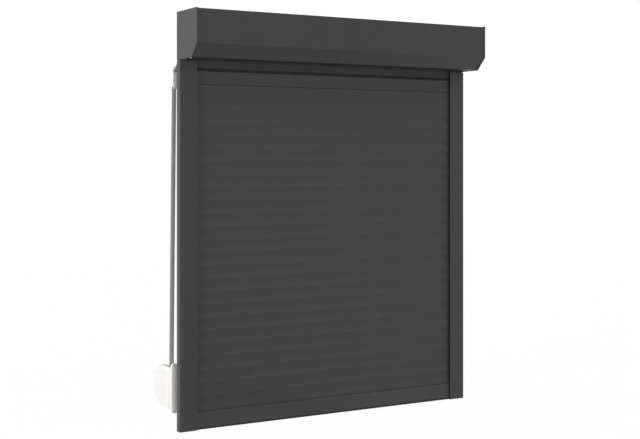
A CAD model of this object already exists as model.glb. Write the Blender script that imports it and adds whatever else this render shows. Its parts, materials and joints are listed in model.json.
"""Exterior roller shutter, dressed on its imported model."""
import bpy
import bmesh
import json
import math
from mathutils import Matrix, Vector


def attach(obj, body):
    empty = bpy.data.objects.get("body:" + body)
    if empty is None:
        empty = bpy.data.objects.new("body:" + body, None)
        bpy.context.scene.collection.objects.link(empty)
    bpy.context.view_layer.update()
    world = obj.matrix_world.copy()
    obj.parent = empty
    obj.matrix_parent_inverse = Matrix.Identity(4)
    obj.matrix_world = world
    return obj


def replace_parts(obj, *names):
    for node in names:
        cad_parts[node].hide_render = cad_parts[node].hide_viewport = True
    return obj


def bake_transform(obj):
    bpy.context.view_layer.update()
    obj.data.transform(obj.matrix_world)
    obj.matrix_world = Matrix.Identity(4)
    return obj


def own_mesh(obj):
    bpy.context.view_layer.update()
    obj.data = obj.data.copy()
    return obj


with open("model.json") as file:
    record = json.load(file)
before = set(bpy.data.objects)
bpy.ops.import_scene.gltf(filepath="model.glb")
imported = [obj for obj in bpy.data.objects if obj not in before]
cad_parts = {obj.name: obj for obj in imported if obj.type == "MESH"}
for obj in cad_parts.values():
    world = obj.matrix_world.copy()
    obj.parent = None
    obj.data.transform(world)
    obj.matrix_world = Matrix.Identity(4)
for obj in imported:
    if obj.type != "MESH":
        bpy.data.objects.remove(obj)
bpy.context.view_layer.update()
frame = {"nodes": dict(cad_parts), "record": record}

SILL = -0.529            # height of the sill below the middle of the wall fixings

CURTAIN_Y = -0.010       # middle plane of the curtain
SLATS = 27
SLAT_PITCH = 0.0374
SLAT_HALF = 0.472        # half of a slat's length
SLAT_HALF_T = 0.00425    # half of its thickness
SLAT_BOW = 0.080         # radius of its hollow front
JOINT_Y = 0.00045        # the slats' joints lie this far behind their middle plane
FIRST_SLAT = SILL + 0.0574               # foot of the lowest slat
SEAM = 0.00008           # joint of two slats that hang closed
WIDE_SEAM = 0.0010       # the one joint that shows wider, above WIDE_SLAT
WIDE_SLAT = 25           # counted from the bottom
OPEN_JOINT = 0.0094      # the open joint below the top slat

STRAP_X = -0.485         # middle of the strap
STRAP_HALF = 0.007       # half of its width
STRAP_HALF_T = 0.0006    # half of its thickness
STRAP_PLAY = 0.0003      # room between the strap and what it runs over
COIL = (-0.0685, SILL + 1.1285)          # the strap's coil in the box, in (y, z)
COIL_R = 0.050           # its outer radius
DEFLECTION = (-0.009, SILL + 1.0683)     # the roller low in the back of the box
GUIDE_Z = SILL + 1.012   # middle of the strap guide
GUIDE_PLATE = 0.043      # indoor face of the guide's plate
GUIDE_SCREWS = 0.0288    # from its middle to each screw
GUIDE_ROLLER = (0.0483, GUIDE_Z + 0.004)            # the roller in the guide's hood
ROLLER_R = 0.005         # of both rollers

WINDER_Z = SILL + 0.1125
WINDER_R = 0.0595        # radius of its case
WINDER_HALF_T = 0.010    # half of the case's thickness
WINDER_PLATE = 0.053     # indoor face of the winder's plate
WINDER_SCREWS = 0.067    # from the winder's middle to each screw
HINGE_Y = 0.0639         # axis of the winder's swivel
HINGE_DEPTH = 0.0065     # from there to the rear of the case
SPOOL_Y = 0.1194         # axis of the spool
INLET = (HINGE_Y + 0.0095, WINDER_Z + WINDER_R)     # where the strap enters the winder


# Shader tools
def effect(name, inputs, outputs):
    """An empty shader node group with its sockets; returns the group, its input and its output."""
    group = bpy.data.node_groups.new(name, "ShaderNodeTree")
    for label, kind, value in inputs:
        socket = group.interface.new_socket(name=label, in_out="INPUT", socket_type=kind)
        if value is not None:
            socket.default_value = value
    for label, kind in outputs:
        group.interface.new_socket(name=label, in_out="OUTPUT", socket_type=kind)
    return group, group.nodes.new("NodeGroupInput"), group.nodes.new("NodeGroupOutput")


def add(tree, kind, **settings):
    """A node with its sockets or its own settings set by name."""
    node = tree.nodes.new(kind)
    for key, value in settings.items():
        if key in node.inputs:
            node.inputs[key].default_value = value
        else:
            setattr(node, key, value)
    return node


def calc(tree, operation, a, b=None, clamp=False):
    """A Math node whose inputs are sockets or numbers; returns its result."""
    node = tree.nodes.new("ShaderNodeMath")
    node.operation = operation
    node.use_clamp = clamp
    for i, value in enumerate((a, b)):
        if value is None:
            continue
        if isinstance(value, (int, float)):
            node.inputs[i].default_value = value
        else:
            tree.links.new(value, node.inputs[i])
    return node.outputs[0]


def blend_colour(tree, factor, a, b):
    """A colour mix whose inputs are sockets or colours; returns its result."""
    node = tree.nodes.new("ShaderNodeMix")
    node.data_type = "RGBA"
    for socket, value in ((node.inputs[0], factor), (node.inputs[6], a), (node.inputs[7], b)):
        if isinstance(value, (int, float, tuple)):
            socket.default_value = value
        else:
            tree.links.new(value, socket)
    return node.outputs[2]


def remap(tree, value, low, high, to_low=0.0, to_high=1.0):
    """Stretches low to high over another range, 0 to 1 unless it is given."""
    node = tree.nodes.new("ShaderNodeMapRange")
    node.inputs["From Min"].default_value = low
    node.inputs["From Max"].default_value = high
    node.inputs["To Min"].default_value = to_low
    node.inputs["To Max"].default_value = to_high
    tree.links.new(value, node.inputs["Value"])
    return node.outputs["Result"]


def make_coat_grain():
    """Fine orange peel of a sprayed or moulded skin: a height, and a mask of its larger unevenness."""
    group, given, out = effect("coat_grain",
        [("Vector", "NodeSocketVector", None), ("Grain Scale", "NodeSocketFloat", 900.0),
         ("Drift Scale", "NodeSocketFloat", 6.0)],
        [("Height", "NodeSocketFloat"), ("Drift", "NodeSocketFloat")])
    fine = add(group, "ShaderNodeTexNoise", Detail=2.0, Roughness=0.6)
    wide = add(group, "ShaderNodeTexNoise", Detail=3.0, Roughness=0.55)
    group.links.new(given.outputs["Vector"], fine.inputs["Vector"])
    group.links.new(given.outputs["Vector"], wide.inputs["Vector"])
    group.links.new(given.outputs["Grain Scale"], fine.inputs["Scale"])
    group.links.new(given.outputs["Drift Scale"], wide.inputs["Scale"])
    group.links.new(fine.outputs["Fac"], out.inputs["Height"])
    group.links.new(remap(group, wide.outputs["Fac"], 0.3, 0.7), out.inputs["Drift"])
    return group


def make_dust():
    """Weather dust: it lies on what faces up and hangs in streaks below it."""
    group, given, out = effect("dust",
        [("Vector", "NodeSocketVector", None), ("Amount", "NodeSocketFloat", 0.3)],
        [("Mask", "NodeSocketFloat")])
    geometry = add(group, "ShaderNodeNewGeometry")
    facing = add(group, "ShaderNodeSeparateXYZ")
    group.links.new(geometry.outputs["Normal"], facing.inputs[0])
    stretch = add(group, "ShaderNodeMapping")
    stretch.inputs["Scale"].default_value = (38.0, 38.0, 2.4)
    group.links.new(given.outputs["Vector"], stretch.inputs["Vector"])
    streaks = add(group, "ShaderNodeTexNoise", Scale=1.0, Detail=4.0, Roughness=0.65)
    group.links.new(stretch.outputs[0], streaks.inputs["Vector"])
    specks = add(group, "ShaderNodeTexNoise", Scale=260.0, Detail=2.0)
    group.links.new(given.outputs["Vector"], specks.inputs["Vector"])
    upward = calc(group, "MULTIPLY", calc(group, "MAXIMUM", facing.outputs["Z"], 0.0), 1.6)
    hanging = calc(group, "MULTIPLY", remap(group, streaks.outputs["Fac"], 0.5, 0.85), 0.35)
    dusty = calc(group, "MULTIPLY", calc(group, "ADD", upward, hanging),
        remap(group, specks.outputs["Fac"], 0.25, 0.75))
    group.links.new(calc(group, "MULTIPLY", dusty, given.outputs["Amount"], clamp=True), out.inputs["Mask"])
    return group


def make_scuffs():
    """Fine long scratches, as a mask."""
    group, given, out = effect("scuffs",
        [("Vector", "NodeSocketVector", None), ("Scale", "NodeSocketFloat", 30.0),
         ("Amount", "NodeSocketFloat", 0.3)],
        [("Mask", "NodeSocketFloat")])
    lean = add(group, "ShaderNodeMapping")
    lean.inputs["Scale"].default_value = (1.0, 1.0, 26.0)
    lean.inputs["Rotation"].default_value = (0.35, 0.2, 0.1)
    group.links.new(given.outputs["Vector"], lean.inputs["Vector"])
    lines = add(group, "ShaderNodeTexNoise", Detail=3.0, Roughness=0.7)
    group.links.new(lean.outputs[0], lines.inputs["Vector"])
    group.links.new(given.outputs["Scale"], lines.inputs["Scale"])
    sharp = remap(group, lines.outputs["Fac"], 0.66, 0.74)
    group.links.new(calc(group, "MULTIPLY", sharp, given.outputs["Amount"]), out.inputs["Mask"])
    return group


def make_webbing():
    """Plain weave of a narrow strap: the height of its threads and a mask of the warp on top."""
    group, given, out = effect("webbing",
        [("Vector", "NodeSocketVector", None), ("Thread", "NodeSocketFloat", 0.0009)],
        [("Height", "NodeSocketFloat"), ("Warp", "NodeSocketFloat")])
    parts = add(group, "ShaderNodeSeparateXYZ")
    group.links.new(given.outputs["Vector"], parts.inputs[0])
    turn = calc(group, "DIVIDE", math.pi, given.outputs["Thread"])
    along = calc(group, "SUBTRACT", parts.outputs["Z"], parts.outputs["Y"])
    across_wave = calc(group, "SINE", calc(group, "MULTIPLY", parts.outputs["X"], turn))
    along_wave = calc(group, "SINE", calc(group, "MULTIPLY", along, turn))
    knot = calc(group, "MULTIPLY", across_wave, along_wave)
    fuzz = add(group, "ShaderNodeTexNoise", Scale=2600.0, Detail=2.0)
    group.links.new(given.outputs["Vector"], fuzz.inputs["Vector"])
    raised = calc(group, "ADD", calc(group, "ABSOLUTE", knot),
        calc(group, "MULTIPLY", fuzz.outputs["Fac"], 0.4))
    group.links.new(raised, out.inputs["Height"])
    group.links.new(remap(group, knot, -0.4, 0.4), out.inputs["Warp"])
    return group


def make_bristles():
    """Upright fibres of a brush or pile strip: height and a mask of light fibre tips."""
    group, given, out = effect("bristles",
        [("Vector", "NodeSocketVector", None), ("Scale", "NodeSocketFloat", 1500.0)],
        [("Height", "NodeSocketFloat"), ("Tips", "NodeSocketFloat")])
    comb = add(group, "ShaderNodeMapping")
    comb.inputs["Scale"].default_value = (1.0, 0.12, 1.0)
    group.links.new(given.outputs["Vector"], comb.inputs["Vector"])
    cells = add(group, "ShaderNodeTexVoronoi")
    group.links.new(comb.outputs[0], cells.inputs["Vector"])
    group.links.new(given.outputs["Scale"], cells.inputs["Scale"])
    group.links.new(calc(group, "SUBTRACT", 1.0, cells.outputs["Distance"]), out.inputs["Height"])
    group.links.new(remap(group, cells.outputs["Distance"], 0.05, 0.5), out.inputs["Tips"])
    return group


def make_spangle():
    """Crystal pattern of galvanised steel with fine brushing, as two masks."""
    group, given, out = effect("spangle",
        [("Vector", "NodeSocketVector", None), ("Scale", "NodeSocketFloat", 130.0)],
        [("Crystal", "NodeSocketFloat"), ("Brushing", "NodeSocketFloat")])
    cells = add(group, "ShaderNodeTexVoronoi")
    group.links.new(given.outputs["Vector"], cells.inputs["Vector"])
    group.links.new(given.outputs["Scale"], cells.inputs["Scale"])
    tone = add(group, "ShaderNodeSeparateColor")
    group.links.new(cells.outputs["Color"], tone.inputs[0])
    group.links.new(tone.outputs[0], out.inputs["Crystal"])
    comb = add(group, "ShaderNodeMapping")
    comb.inputs["Scale"].default_value = (8.0, 900.0, 900.0)
    group.links.new(given.outputs["Vector"], comb.inputs["Vector"])
    hairs = add(group, "ShaderNodeTexNoise", Scale=1.0, Detail=3.0)
    group.links.new(comb.outputs[0], hairs.inputs["Vector"])
    group.links.new(hairs.outputs["Fac"], out.inputs["Brushing"])
    return group


EFFECTS = {"grain": make_coat_grain(), "dust": make_dust(), "scuffs": make_scuffs(),
           "webbing": make_webbing(), "bristles": make_bristles(), "spangle": make_spangle()}


class Finish:
    """One material, its shader and the place it reads its pattern from."""

    def __init__(self, name, **surface):
        self.material = bpy.data.materials.new(name)
        self.material.use_nodes = True
        self.tree = self.material.node_tree
        self.shader = self.tree.nodes["Principled BSDF"]
        for key, value in surface.items():
            self.shader.inputs[key.replace("_", " ")].default_value = value
        self.place = add(self.tree, "ShaderNodeTexCoord").outputs["Object"]

    def put(self, which, **values):
        """Places an effect group and sets its own values."""
        node = self.tree.nodes.new("ShaderNodeGroup")
        node.node_tree = EFFECTS[which]
        for key, value in values.items():
            node.inputs[key.replace("_", " ")].default_value = value
        self.tree.links.new(self.place, node.inputs["Vector"])
        return node.outputs

    def feed(self, value, socket):
        """Links a value to one of the shader's sockets."""
        self.tree.links.new(value, self.shader.inputs[socket])

    def raise_by(self, height, depth, strength):
        """Bumps the surface by a height pattern of that depth."""
        bump = add(self.tree, "ShaderNodeBump", Strength=strength, Distance=depth)
        self.tree.links.new(height, bump.inputs["Height"])
        self.feed(bump.outputs["Normal"], "Normal")


def grey(v, tint):
    """A grey of that lightness, tinted."""
    return (v * tint[0], v * tint[1], v * tint[2], 1.0)


def make_powder_coat(name, tone, rough):
    """Anthracite powder coat: fine peel, slow drift of tone, dust and a few scuffs."""
    f = Finish(name, Specular_IOR_Level=0.32)
    cool = (0.985, 0.99, 1.03)
    grain = f.put("grain", Grain_Scale=1400.0, Drift_Scale=5.0)
    dust = f.put("dust", Amount=0.12)
    scuffs = f.put("scuffs", Scale=22.0, Amount=0.35)
    base = blend_colour(f.tree, grain["Drift"], grey(tone * 0.95, cool), grey(tone * 1.05, cool))
    speck = blend_colour(f.tree, calc(f.tree, "MULTIPLY", grain["Height"], 0.35), base,
        grey(tone * 1.5, cool))
    dusty = blend_colour(f.tree, dust["Mask"], speck, (0.30, 0.28, 0.25, 1.0))
    f.feed(blend_colour(f.tree, scuffs["Mask"], dusty, grey(tone * 1.6, cool)), "Base Color")
    f.feed(calc(f.tree, "ADD", calc(f.tree, "MULTIPLY", grain["Drift"], 0.08),
        calc(f.tree, "ADD", calc(f.tree, "MULTIPLY", dust["Mask"], 0.3), rough), clamp=True), "Roughness")
    f.raise_by(grain["Height"], 0.00006, 0.5)
    return f.material


def make_moulded(name, colour, rough, dust, grain_scale=1800.0):
    """Moulded plastic with a spark-eroded skin."""
    f = Finish(name, Specular_IOR_Level=0.45)
    grain = f.put("grain", Grain_Scale=grain_scale, Drift_Scale=14.0)
    lying = f.put("dust", Amount=dust)
    scuffs = f.put("scuffs", Scale=55.0, Amount=0.25)
    darker = tuple(c * 0.95 for c in colour) + (1.0,)
    base = blend_colour(f.tree, grain["Drift"], darker, colour + (1.0,))
    f.feed(blend_colour(f.tree, lying["Mask"], base, (0.36, 0.34, 0.31, 1.0)), "Base Color")
    f.feed(calc(f.tree, "ADD", calc(f.tree, "MULTIPLY", grain["Drift"], 0.1),
        calc(f.tree, "ADD", calc(f.tree, "MULTIPLY", scuffs["Mask"], 0.5), rough), clamp=True), "Roughness")
    f.raise_by(grain["Height"], 0.00004, 0.35)
    return f.material


def make_webbing_strap():
    """Greige woven strap, a little darker between its threads."""
    f = Finish("greige_webbing", Roughness=0.9, Specular_IOR_Level=0.2, Sheen_Weight=0.25)
    weave = f.put("webbing", Thread=0.0009)
    grain = f.put("grain", Grain_Scale=700.0, Drift_Scale=30.0)
    dust = f.put("dust", Amount=0.15)
    threads = blend_colour(f.tree, weave["Warp"], (0.325, 0.312, 0.295, 1.0), (0.47, 0.452, 0.43, 1.0))
    worn = blend_colour(f.tree, calc(f.tree, "MULTIPLY", grain["Drift"], 0.25), threads,
        (0.48, 0.466, 0.445, 1.0))
    f.feed(blend_colour(f.tree, dust["Mask"], worn, (0.33, 0.31, 0.28, 1.0)), "Base Color")
    f.raise_by(weave["Height"], 0.00012, 0.6)
    return f.material


def make_pile():
    """Black brush pile."""
    f = Finish("black_pile", Roughness=0.95, Specular_IOR_Level=0.1)
    fibres = f.put("bristles", Scale=1300.0)
    f.feed(blend_colour(f.tree, fibres["Tips"], (0.020, 0.020, 0.021, 1.0), (0.006, 0.006, 0.006, 1.0)),
        "Base Color")
    f.raise_by(fibres["Height"], 0.0003, 0.7)
    return f.material


def make_rubber():
    """Black rubber seal with dust rubbed into it."""
    f = Finish("black_rubber", Specular_IOR_Level=0.3)
    grain = f.put("grain", Grain_Scale=900.0, Drift_Scale=40.0)
    dust = f.put("dust", Amount=0.5)
    base = blend_colour(f.tree, grain["Drift"], (0.014, 0.014, 0.014, 1.0), (0.026, 0.025, 0.024, 1.0))
    f.feed(blend_colour(f.tree, dust["Mask"], base, (0.20, 0.19, 0.17, 1.0)), "Base Color")
    f.feed(remap(f.tree, grain["Height"], -1.2, 1.2), "Roughness")
    f.raise_by(grain["Height"], 0.00008, 0.5)
    return f.material


def make_galvanised():
    """Galvanised steel of the shaft, pins, springs and rollers."""
    f = Finish("galvanised_steel", Metallic=1.0)
    zinc = f.put("spangle", Scale=150.0)
    scuffs = f.put("scuffs", Scale=70.0, Amount=0.4)
    crystals = blend_colour(f.tree, zinc["Crystal"], (0.44, 0.45, 0.46, 1.0), (0.60, 0.61, 0.62, 1.0))
    f.feed(blend_colour(f.tree, scuffs["Mask"], crystals, (0.72, 0.72, 0.72, 1.0)), "Base Color")
    f.feed(calc(f.tree, "ADD", calc(f.tree, "MULTIPLY", zinc["Crystal"], 0.14), 0.30), "Roughness")
    f.raise_by(zinc["Brushing"], 0.00003, 0.4)
    return f.material


POWDER_COAT = make_powder_coat("anthracite_powder_coat", tone=0.0315, rough=0.48)
SLAT_COAT = make_powder_coat("anthracite_slat_lacquer", tone=0.0325, rough=0.46)
BAR_COAT = make_powder_coat("anthracite_bar_coat", tone=0.037, rough=0.46)
JOINT_COAT = make_powder_coat("anthracite_joint_strip", tone=0.013, rough=0.75)
DARK_PLASTIC = make_moulded("black_moulding", (0.018, 0.018, 0.019), rough=0.5, dust=0.2)
WHITE_PLASTIC = make_moulded("white_moulding", (0.64, 0.632, 0.616), rough=0.32, dust=0.03,
    grain_scale=2200.0)
WHITE_PLATE = make_moulded("white_plate_moulding", (0.84, 0.83, 0.805), rough=0.38, dust=0.03,
    grain_scale=2200.0)
WEBBING = make_webbing_strap()
PILE = make_pile()
RUBBER = make_rubber()
GALVANISED = make_galvanised()

BY_SLOT = {"anthracite": POWDER_COAT, "steel": GALVANISED, "dark_plastic": DARK_PLASTIC, "pile": PILE,
           "seal": RUBBER, "strap": WEBBING, "white_plastic": WHITE_PLASTIC}
for part in frame["record"]["subparts"]:
    node = frame["nodes"][part["node"]]
    for place in node.material_slots:
        place.material = BY_SLOT[part["material_slot"]]
for name, material in (("strap_guide", WHITE_PLATE), ("winder_bracket", WHITE_PLATE),
                       ("bottom_bar", BAR_COAT)):
    for place in frame["nodes"][name].material_slots:
        place.material = material


# Mesh tools
def finish_piece(name, bm, material, body, sharp=32.0):
    """Turns a bmesh into a named piece with its finish, riding on a body."""
    bmesh.ops.remove_doubles(bm, verts=bm.verts, dist=1e-7)
    bmesh.ops.recalc_face_normals(bm, faces=bm.faces)
    mesh = bpy.data.meshes.new(name)
    bm.to_mesh(mesh)
    bm.free()
    for face in mesh.polygons:
        face.use_smooth = True
    mesh.set_sharp_from_angle(angle=math.radians(sharp))
    mesh.materials.append(material)
    piece = bpy.data.objects.new(name, mesh)
    bpy.context.collection.objects.link(piece)
    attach(piece, body)
    return piece


def loops_to_faces(bm, loops, closed=True):
    """Skins a row of equal vertex loops."""
    count = len(loops[0])
    for a, b in zip(loops, loops[1:]):
        for i in range(count if closed else count - 1):
            j = (i + 1) % count
            bm.faces.new((a[i], a[j], b[j], b[i]))


def bar_along_x(bm, outline, stations):
    """A closed (y, z) outline carried along X through the stations and closed at both ends."""
    loops = [[bm.verts.new((x, y, z)) for y, z in outline] for x in stations]
    loops_to_faces(bm, loops)
    for loop in (loops[0], loops[-1]):
        face = bm.faces.new(loop)
        bmesh.ops.triangulate(bm, faces=[face])


def arc(cy, cz, r, start, end, steps):
    """Points of an arc in (y, z); its angles are in degrees."""
    angles = [math.radians(start + (end - start) * i / steps) for i in range(steps + 1)]
    return [(cy + r * math.cos(a), cz + r * math.sin(a)) for a in angles]


def quarter_turn(steps):
    """The angles of a quarter turn in even steps."""
    return [math.radians(90.0 * i / steps) for i in range(steps + 1)]


def apply_all(piece):
    """Writes a piece's modifiers into its mesh."""
    graph = bpy.context.evaluated_depsgraph_get()
    baked = bpy.data.meshes.new_from_object(piece.evaluated_get(graph))
    piece.modifiers.clear()
    old = piece.data
    piece.data = baked
    bpy.data.meshes.remove(old)


def cut_with(piece, low, high):
    """Cuts a square hole through a piece."""
    bm = bmesh.new()
    bmesh.ops.create_cube(bm, size=1.0)
    for v in bm.verts:
        v.co = Vector([low[i] + (high[i] - low[i]) * (v.co[i] + 0.5) for i in range(3)])
    mesh = bpy.data.meshes.new("cutter")
    bm.to_mesh(mesh)
    bm.free()
    cutter = bpy.data.objects.new("cutter", mesh)
    bpy.context.collection.objects.link(cutter)
    cut = piece.modifiers.new("cut", "BOOLEAN")
    cut.object = cutter
    cut.solver = "EXACT"
    apply_all(piece)
    bpy.data.objects.remove(cutter)


# Slats
def curved(y, bow, z):
    """Depth of a face that passes y at the joints and is bowed back by its radius between them."""
    half = SLAT_PITCH / 2
    return y - math.sqrt(bow * bow - half * half) + math.sqrt(bow * bow - (z - half) ** 2)


def slat_face(y, bow, low, high, inward):
    """Points of one curved face, from low to high; its edges curl in."""
    steps, edge = 22, 0.0005
    points = []
    for i in range(steps + 1):
        z = low + (high - low) * i / steps
        near = min(z - low, high - z, edge) / edge
        curl = edge * (1.0 - math.sqrt(1.0 - (1.0 - near) ** 2))
        points.append((curved(y, bow, z) + inward * curl, z))
    return points


def slat_outline(gap):
    """Section of a slat from its foot up; its bowed back has twice the radius of its hollow front."""
    low, high = 0.0, SLAT_PITCH - gap
    front = slat_face(-SLAT_HALF_T, SLAT_BOW, low, high, 1)
    back_y = SLAT_HALF_T - curved(0.0, 2 * SLAT_BOW, SLAT_PITCH / 2)
    back = slat_face(back_y, 2 * SLAT_BOW, low, high, -1)
    neck, hook, bevel = 0.0005, 0.0016, 0.0004                     # two half widths, and the hook's corners
    under, over = SLAT_PITCH + 0.0104, SLAT_PITCH + 0.0119         # lower and upper edge of the hook
    top = [(-neck, high), (-neck, under), (-hook, under), (-hook, over - bevel), (-hook + bevel, over),
           (hook - bevel, over), (hook, over - bevel), (hook, under), (neck, under), (neck, high)]
    mouth, room = 0.0012, 0.0021                                   # half widths of the slot in the foot
    lip, roof = 0.0009, 0.014                                      # heights of its lips and its top
    pocket = [(mouth, low), (mouth, lip), (room, lip), (room, roof),
              (-room, roof), (-room, lip), (-mouth, lip), (-mouth, low)]
    return front + [(y + JOINT_Y, z) for y, z in top] + back[::-1] + [(y + JOINT_Y, z) for y, z in pocket]


def squash_with_curtain(piece):
    """The curtain's pieces shrink towards the bottom bar as it rises, to what the wound curtain takes up."""
    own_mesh(piece)


HEAD_ABOVE = 0.0001      # faces this far above the front belong to the head, which has the joint's coat
for k in range(SLATS):
    foot = FIRST_SLAT + k * SLAT_PITCH + (OPEN_JOINT if k == SLATS - 1 else 0.0)
    seam = WIDE_SEAM if k + 1 == WIDE_SLAT else SEAM
    bm = bmesh.new()
    bar_along_x(bm, [(CURTAIN_Y + y, foot + z) for y, z in slat_outline(seam)], [-SLAT_HALF, SLAT_HALF])
    slat = finish_piece("curtain_slat_%02d" % (k + 1), bm, SLAT_COAT, "curtain")
    slat.data.materials.append(JOINT_COAT)
    for face in slat.data.polygons:
        if face.center.z > foot + SLAT_PITCH - seam + HEAD_ABOVE:
            face.material_index = 1
    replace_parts(slat, "slat_%02d" % (k + 1))
    squash_with_curtain(slat)


def copy_of_node(node, name, body):
    """A free copy of a CAD node's mesh, for a piece that has to change shape with a joint."""
    source = frame["nodes"][node]
    mesh = source.data.copy()
    mesh.transform(source.matrix_world)
    piece = bpy.data.objects.new(name, mesh)
    bpy.context.collection.objects.link(piece)
    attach(piece, body)
    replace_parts(piece, node)
    return piece


for node, slot in (("slat_end_locks", "dark_plastic"), ("hanger_straps", "steel")):
    squash_with_curtain(copy_of_node(node, node + "_piece", "curtain"))


# Strap
def line_dir(a, ra, b, rb):
    """Direction of the line that touches circle a, then circle b; radii count positive on its left."""
    d = Vector(b) - Vector(a)
    return math.atan2(d.y, d.x) - math.asin((rb - ra) / d.length)


def touch(c, r, direction):
    """Where a line of that direction touches the circle."""
    return (c[0] + r * math.sin(direction), c[1] - r * math.cos(direction))


def strap_route():
    """Middle line of the strap in (y, z), from its coil over both rollers down to the winder."""
    away = STRAP_HALF_T + STRAP_PLAY
    turn_r = -ROLLER_R - away
    steps = 8
    first = line_dir(COIL, COIL_R + away, DEFLECTION, turn_r)
    second = line_dir(DEFLECTION, turn_r, GUIDE_ROLLER, turn_r)
    third = line_dir(GUIDE_ROLLER, turn_r, INLET, 0.0)
    points = [touch(COIL, COIL_R + away, first)]
    for centre, a, b in ((DEFLECTION, first, second), (GUIDE_ROLLER, second, third)):
        points += [touch(centre, turn_r, a + (b - a) * i / steps) for i in range(steps + 1)]
    points.append((INLET[0] - STRAP_PLAY * math.cos(third), INLET[1] - STRAP_PLAY * math.sin(third)))
    return points


def finer(points, step):
    """The same route with a point at least every step."""
    out = [points[0]]
    for a, b in zip(points, points[1:]):
        n = max(1, math.ceil(math.dist(a, b) / step))
        out += [(a[0] + (b[0] - a[0]) * i / n, a[1] + (b[1] - a[1]) * i / n) for i in range(1, n + 1)]
    return out


def make_strap():
    """The strap's free run, with a thicker selvedge along each edge."""
    route = finer(strap_route(), step=0.006)
    half = STRAP_HALF
    edge = ((0.0, 0.45), (0.0005, 0.95), (0.0012, 0.8), (0.002, 1.0))     # way in, half thicknesses
    across = [(-half + x, -t) for x, t in edge] + [(half - x, -t) for x, t in edge[::-1]] \
        + [(half - x, t) for x, t in edge] + [(-half + x, t) for x, t in edge[::-1]]
    bm = bmesh.new()
    loops = []
    for i, point in enumerate(route):
        a, b = route[max(i - 1, 0)], route[min(i + 1, len(route) - 1)]
        way = Vector((b[0] - a[0], b[1] - a[1])).normalized()
        loops.append([bm.verts.new((STRAP_X + x, point[0] - way.y * t * STRAP_HALF_T,
                                    point[1] + way.x * t * STRAP_HALF_T)) for x, t in across])
    loops_to_faces(bm, loops)
    bm.faces.new(loops[0])
    bm.faces.new(loops[-1])
    strap = finish_piece("lifting_strap", bm, WEBBING, "root", sharp=60.0)
    strap.parent = None      # blend takes a piece that has no parent
    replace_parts(strap, "strap_run")
    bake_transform(strap)


make_strap()


# Winder
def case_outline(inset):
    """The winder case's edge in (y, z), drawn in by inset; its rear end stays open to the hinge block."""
    r = WINDER_R - inset
    rear = HINGE_Y + HINGE_DEPTH
    between = (rear + SPOOL_Y) / 2
    return [(rear, WINDER_Z + r), (between, WINDER_Z + r)] + arc(SPOOL_Y, WINDER_Z, r, 90.0, -90.0, 40) \
        + [(between, WINDER_Z - r), (rear, WINDER_Z - r)]


def make_case_half(side, node):
    """One half of the winder's case: side wall with a rolled rim, closed against the hinge block."""
    roll, wall = 0.003, 0.0014
    rim = 0.012              # the flat middle of the side wall starts this far in
    seam = 0.00005 if side > 0 else 0.0
    flat = WINDER_HALF_T - roll
    profile = [(seam, 0.0)]
    profile += [(flat + roll * math.sin(a), roll * (1.0 - math.cos(a))) for a in quarter_turn(5)]
    profile.append((WINDER_HALF_T, rim))
    bm = bmesh.new()
    loops = [[bm.verts.new((STRAP_X + side * x, y, z)) for y, z in case_outline(inset)]
             for x, inset in profile]
    loops_to_faces(bm, loops, closed=False)
    bm.faces.new(loops[-1])
    name = "winder_case_left" if side < 0 else "winder_case_right"
    piece = finish_piece(name, bm, WHITE_PLASTIC, "winder", sharp=40.0)
    skin = piece.modifiers.new("skin", "SOLIDIFY")
    skin.thickness = wall
    skin.offset = -1.0
    skin.use_even_offset = True
    apply_all(piece)
    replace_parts(piece, node)
    return piece


SLOT_HALF = 0.0073       # half the width of the strap's slot in the case
SLOT_REAR, SLOT_FRONT = HINGE_Y + 0.005, HINGE_Y + 0.0125
CUT_BELOW, CUT_ABOVE = 0.004, 0.002      # how far the cut passes the top of the case
for side, node in ((-1, "winder_housing"), (1, "winder_cover")):
    half = make_case_half(side, node)
    cut_with(half, (STRAP_X - SLOT_HALF, SLOT_REAR, WINDER_Z + WINDER_R - CUT_BELOW),
        (STRAP_X + SLOT_HALF, SLOT_FRONT, WINDER_Z + WINDER_R + CUT_ABOVE))


def make_hinge_block():
    """Solid rear of the case, half round about its swivel, with softened ends."""
    r, soft = WINDER_HALF_T, 0.0012
    outline = [(r * math.cos(math.radians(a)), r * math.sin(math.radians(a))) for a in range(-180, 1, 10)]
    outline += [(r, HINGE_DEPTH), (-r, HINGE_DEPTH)]
    ends = [(soft * (1 - math.cos(a)), soft * (1 - math.sin(a))) for a in quarter_turn(4)]
    low, high = WINDER_Z - WINDER_R, WINDER_Z + WINDER_R
    levels = [(low + inset, shrink) for inset, shrink in ends]
    levels += [(high - inset, shrink) for inset, shrink in ends[::-1]]
    bm = bmesh.new()
    loops = []
    for z, shrink in levels:
        k = 1 - shrink / r
        loops.append([bm.verts.new((STRAP_X + x * k, HINGE_Y + (y if y == HINGE_DEPTH else y * k), z))
                      for x, y in outline])
    loops_to_faces(bm, loops)
    bm.faces.new(loops[0])
    bm.faces.new(loops[-1])
    return finish_piece("winder_hinge_block", bm, WHITE_PLASTIC, "winder", sharp=40.0)


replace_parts(make_hinge_block(), "winder_housing")


def make_axle():
    """Stub on which the spool turns."""
    r, left, right = 0.004, STRAP_X - 0.0093, STRAP_X + 0.0083
    bm = bmesh.new()
    bar_along_x(bm, arc(SPOOL_Y, WINDER_Z, r, 0.0, 350.0, 35), [left, right])
    return finish_piece("spool_axle", bm, WHITE_PLASTIC, "winder", sharp=40.0)


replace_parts(make_axle(), "winder_housing")


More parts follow.
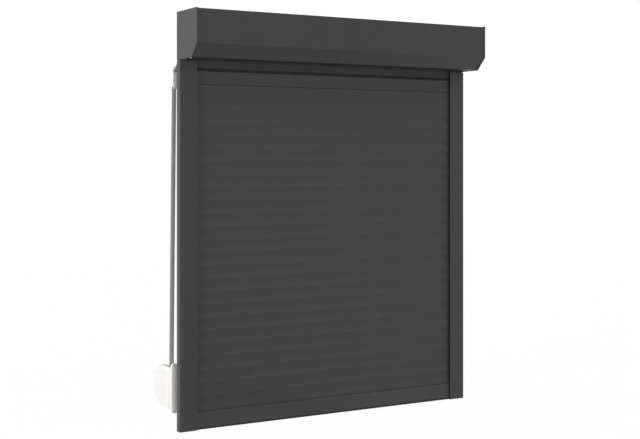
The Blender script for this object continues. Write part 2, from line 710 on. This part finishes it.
# Screws
def make_screw_head(name, y, z, radius, height):
    """A pan head with a cross recess; it faces indoors from y."""
    dome_shares = ((1.0, 0.0), (1.0, 0.25), (0.93, 0.55), (0.75, 0.82), (0.45, 0.96))    # radius, height
    arm_share, slot_share = 0.55, 0.12       # half length and half width of the recess, of the radius
    floor_share, past_share = 0.35, 1.5      # its floor and the end of the cut, of the height
    sides = 32
    bm = bmesh.new()
    loops = []
    for wide, lift in dome_shares:
        r = radius * wide
        loops.append([bm.verts.new((STRAP_X + r * math.cos(math.tau * i / sides), y + lift * height,
                                    z + r * math.sin(math.tau * i / sides))) for i in range(sides)])
    loops_to_faces(bm, loops)
    bm.faces.new(loops[0])
    bm.faces.new(loops[-1])
    head = finish_piece(name, bm, GALVANISED, "root", sharp=40.0)
    for wide, tall in ((arm_share, slot_share), (slot_share, arm_share)):
        cut_with(head, (STRAP_X - radius * wide, y + height * floor_share, z - radius * tall),
            (STRAP_X + radius * wide, y + height * past_share, z + radius * tall))


for end, label in ((-1, "bottom"), (1, "top")):
    make_screw_head("winder_screw_" + label, WINDER_PLATE, WINDER_Z + end * WINDER_SCREWS,
        radius=0.0036, height=0.0018)
    make_screw_head("guide_screw_" + label, GUIDE_PLATE, GUIDE_Z + end * GUIDE_SCREWS,
        radius=0.0031, height=0.0016)


# Camera and lamps
VIEW_TURN = -30.28       # degrees from square on
FRAME_WIDTH = 640
FRAME_SHIFT = -60.6      # in the frame's own pixels
camera = bpy.data.objects.new("camera", bpy.data.cameras.new("camera"))
bpy.context.collection.objects.link(camera)
camera.location = (-1.8967, -3.2026, 0.2483)
camera.rotation_euler = (math.radians(90.0), 0.0, math.radians(VIEW_TURN))
camera.data.sensor_width = 36.0
camera.data.lens = 68.38
camera.data.shift_y = FRAME_SHIFT / FRAME_WIDTH
camera.data.clip_end = 60.0
bpy.context.scene.camera = camera


def make_light(name, way, strength, spread):
    """A soft sun that shines from the given direction."""
    light = bpy.data.lights.new(name, "SUN")
    light.energy = strength
    light.angle = math.radians(spread)
    lamp = bpy.data.objects.new(name, light)
    lamp.rotation_euler = Vector(way).to_track_quat("Z", "Y").to_euler()
    bpy.context.collection.objects.link(lamp)


make_light("side_softbox", (-1.0, -0.06, 0.12), strength=3.7, spread=50.0)
make_light("front_softbox", (-0.25, -1.0, 0.055), strength=0.72, spread=6.0)


# Studio
def seen_plainly(tree):
    """1 where the camera, a mirror or a glass looks, 0 where a surface is lit."""
    path = add(tree, "ShaderNodeLightPath")
    return calc(tree, "MAXIMUM", path.outputs["Is Camera Ray"],
        calc(tree, "MAXIMUM", path.outputs["Is Glossy Ray"], path.outputs["Is Transmission Ray"]))


def make_world():
    """White walls all round, which light the part at about half of what they show."""
    world = bpy.data.worlds.new("studio")
    world.use_nodes = True
    bpy.context.scene.world = world
    sky = world.node_tree
    background = sky.nodes["Background"]
    background.inputs["Color"].default_value = (1.0, 1.0, 1.0, 1.0)
    strength = remap(sky, seen_plainly(sky), 0.0, 1.0, to_low=0.55, to_high=1.0)
    sky.links.new(strength, background.inputs["Strength"])


make_world()


def make_floor():
    """Pale studio floor just under the shutter."""
    reach, drop = 6.0, 0.0012
    bm = bmesh.new()
    for x, y in ((-reach, -reach), (reach, -reach), (reach, reach), (-reach, reach)):
        bm.verts.new((x, y, SILL - drop))
    bm.faces.new(bm.verts)
    mesh = bpy.data.meshes.new("studio_floor")
    bm.to_mesh(mesh)
    bm.free()
    material = bpy.data.materials.new("pale_floor")
    material.use_nodes = True
    tree = material.node_tree
    shader = tree.nodes["Principled BSDF"]
    shader.inputs["Base Color"].default_value = (0.92, 0.92, 0.92, 1.0)
    shader.inputs["Roughness"].default_value = 0.9
    shader.inputs["Specular IOR Level"].default_value = 0.0
    glow = add(tree, "ShaderNodeEmission", Strength=1.0)
    mix = add(tree, "ShaderNodeMixShader")
    tree.links.new(calc(tree, "MULTIPLY", seen_plainly(tree), 0.97), mix.inputs["Fac"])
    tree.links.new(shader.outputs[0], mix.inputs[1])
    tree.links.new(glow.outputs[0], mix.inputs[2])
    tree.links.new(mix.outputs[0], tree.nodes["Material Output"].inputs["Surface"])
    mesh.materials.append(material)
    floor = bpy.data.objects.new("studio_floor", mesh)
    bpy.context.collection.objects.link(floor)


make_floor()
bpy.context.scene.view_settings.view_transform = "Standard"
